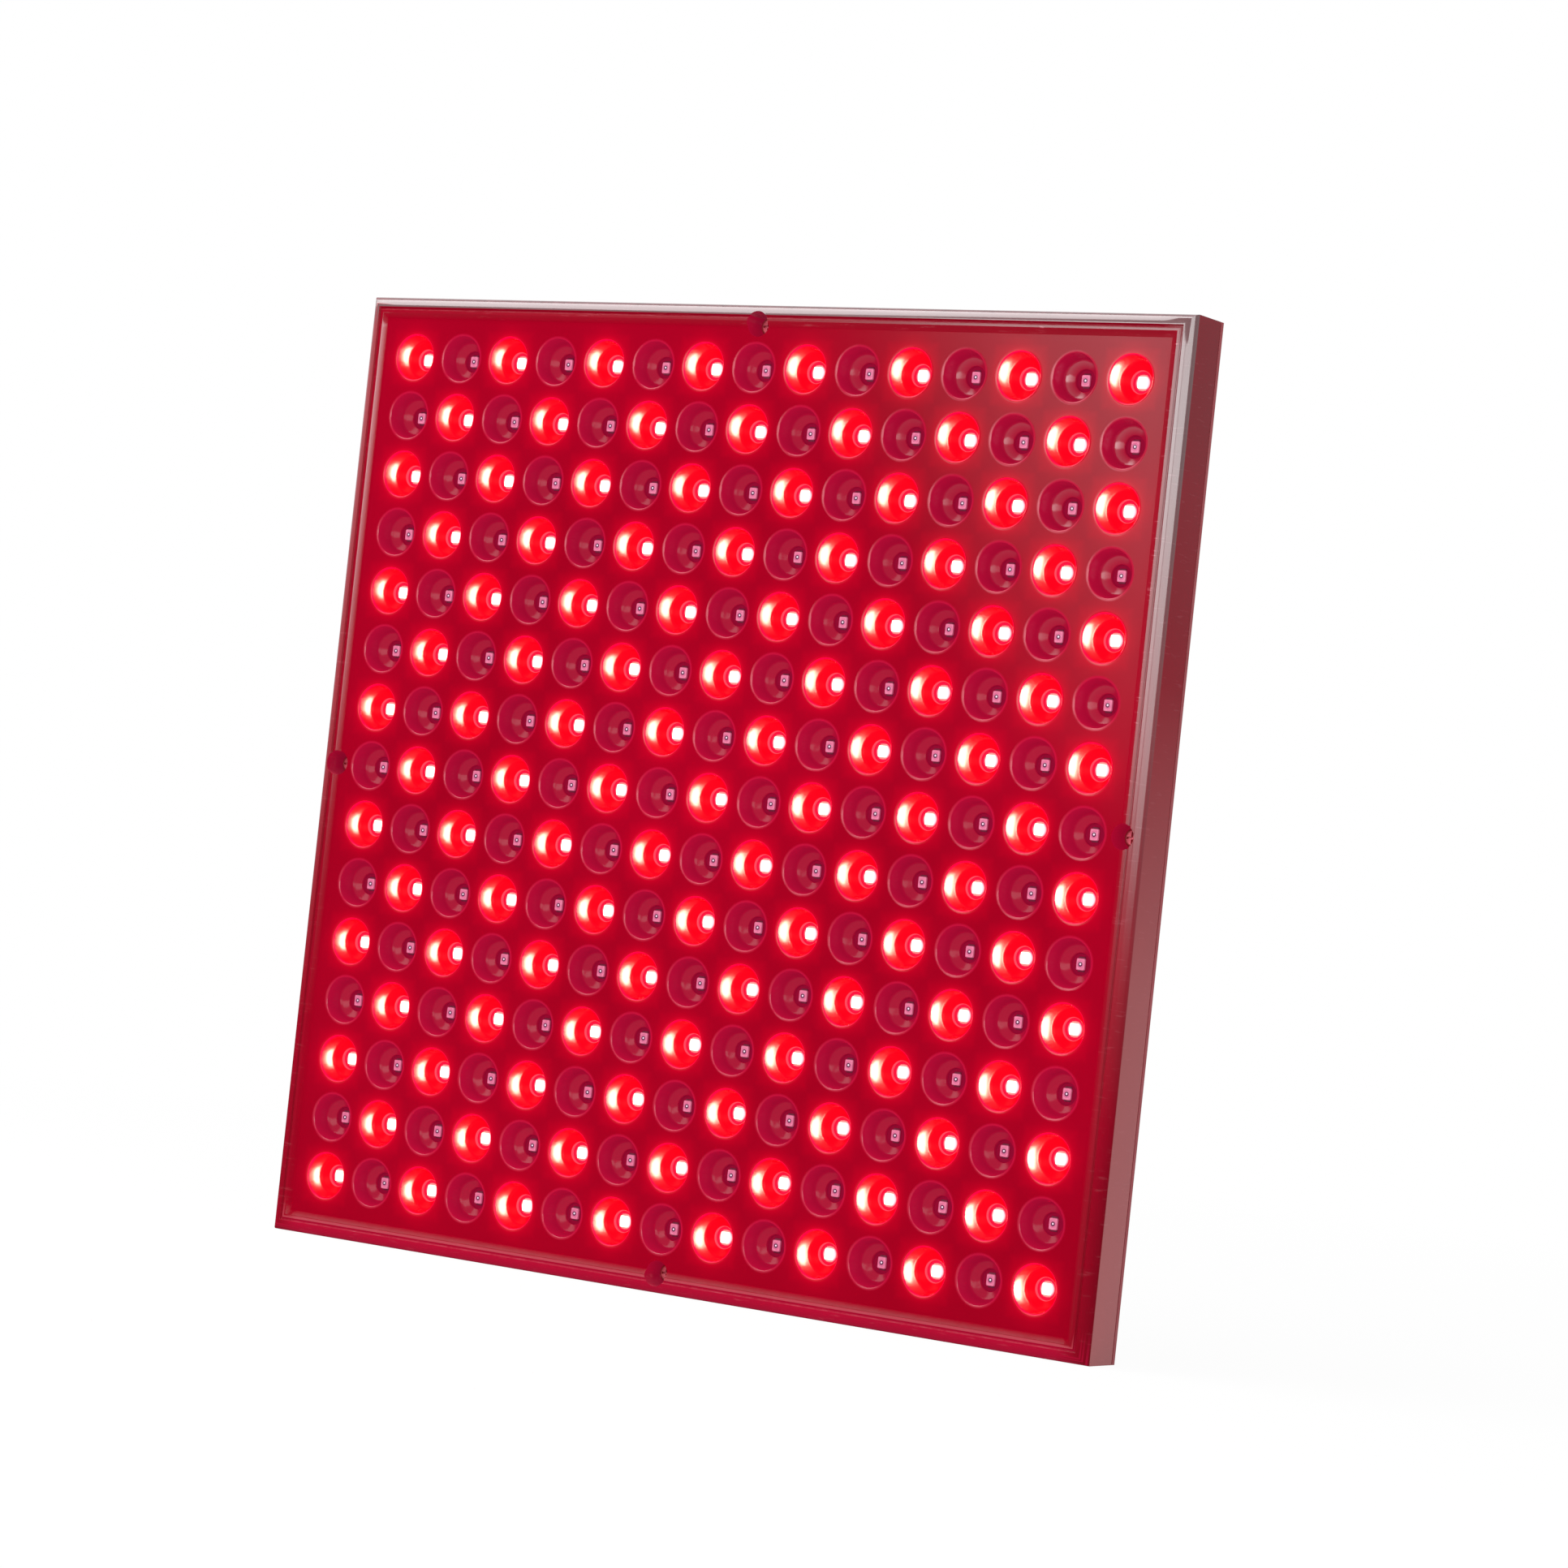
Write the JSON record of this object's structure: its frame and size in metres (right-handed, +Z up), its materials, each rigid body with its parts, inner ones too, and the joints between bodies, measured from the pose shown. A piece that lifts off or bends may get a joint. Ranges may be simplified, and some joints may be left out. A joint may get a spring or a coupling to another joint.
{
  "type": "red light therapy panel",
  "caption": "Square light therapy panel with a raised rim, a grid of reflector cups over red and infrared emitters, and hanging rings behind.",
  "frame": {"origin": "middle of the flat bottom side that the panel stands on", "axes": "-Y is the way the emitters face, +X is to the right for a person in front of the panel, +Z is up"},
  "size_m": [0.31, 0.0329, 0.31],
  "materials": {
    "shell_plastic": "satin moulded plastic, seen in red light",
    "cover_plastic": "fine moulded texture",
    "board": "dark red solder mask on an aluminium core",
    "driver_laminate": "bare laminate",
    "red_emitter_plastic": "white moulded package",
    "red_emitter_resin": "clear resin, lit",
    "infrared_emitter_plastic": "white moulded package in red light",
    "infrared_emitter_resin": "clear resin, dark",
    "zinc_steel": "zinc plated",
    "brass": "plain turned",
    "nickel": "nickel plated",
    "black_plastic": "moulded",
    "terminal_plastic": "moulded",
    "can_sleeve": "shrink sleeve over an aluminium can",
    "film_plastic": "moulded",
    "sink_aluminium": "bare",
    "ferrite": "sintered",
    "winding": "enamelled copper wire",
    "fuse_glass": "clear",
    "ceramic_chip": "glazed",
    "lead_jacket": "soft insulation",
    "insulating_card": "pressed card"
  },
  "bodies": {
    "case": {"front_shell": "shell_plastic", "back_cover": "cover_plastic", "emitter_board": "board", "red_emitter_packages": "red_emitter_plastic", "red_emitter_windows": "red_emitter_resin", "infrared_emitter_packages": "infrared_emitter_plastic", "infrared_emitter_windows": "infrared_emitter_resin", "board_resistors": "ceramic_chip", "front_screws": "zinc_steel", "board_screws": "zinc_steel", "cover_screws": "zinc_steel", "cover_inserts": "brass", "ring_clips": "zinc_steel", "clip_rivets": "zinc_steel", "inlet_body": "black_plastic", "inlet_pins": "nickel", "inlet_screws": "zinc_steel", "inlet_nuts": "zinc_steel", "switch_housing": "black_plastic", "switch_blades": "nickel", "insulation_sheet": "insulating_card", "driver_board": "driver_laminate", "driver_screws": "zinc_steel", "input_terminal": "terminal_plastic", "output_terminal": "terminal_plastic", "board_socket": "terminal_plastic", "film_capacitor": "film_plastic", "bridge_rectifier": "black_plastic", "heat_sink": "sink_aluminium", "power_transistor": "black_plastic", "transformer_core": "ferrite", "transformer_winding": "winding", "line_choke": "winding", "bulk_capacitor": "can_sleeve", "output_capacitors": "can_sleeve", "fuse_tube": "fuse_glass", "fuse_caps": "nickel", "mains_leads": "lead_jacket", "output_leads": "lead_jacket"},
    "ring_top_left": {"hanging_ring_top_left": "nickel"},
    "ring_top_right": {"hanging_ring_top_right": "nickel"},
    "ring_bottom_left": {"hanging_ring_bottom_left": "nickel"},
    "ring_bottom_right": {"hanging_ring_bottom_right": "nickel"},
    "rocker": {"switch_rocker": "black_plastic"}
  },
  "joints": [
    {"name": "ring_top_left_swing", "type": "hinge", "parent": "case", "child": "ring_top_left", "pos_m": [-0.136, 0.012, 0.292], "axis": [1, 0, 0], "range_deg": [-4, 180]},
    {"name": "ring_top_right_swing", "type": "hinge", "parent": "case", "child": "ring_top_right", "pos_m": [0.136, 0.012, 0.292], "axis": [1, 0, 0], "range_deg": [-4, 180]},
    {"name": "ring_bottom_left_swing", "type": "hinge", "parent": "case", "child": "ring_bottom_left", "pos_m": [-0.136, 0.012, 0.04], "axis": [1, 0, 0], "range_deg": [-4, 180]},
    {"name": "ring_bottom_right_swing", "type": "hinge", "parent": "case", "child": "ring_bottom_right", "pos_m": [0.136, 0.012, 0.04], "axis": [1, 0, 0], "range_deg": [-4, 180]},
    {"name": "rocker_tilt", "type": "hinge", "parent": "case", "child": "rocker", "pos_m": [0.02, 0.0205, 0.067], "axis": [-1, 0, 0], "range_deg": [0, 20]}
  ]
}
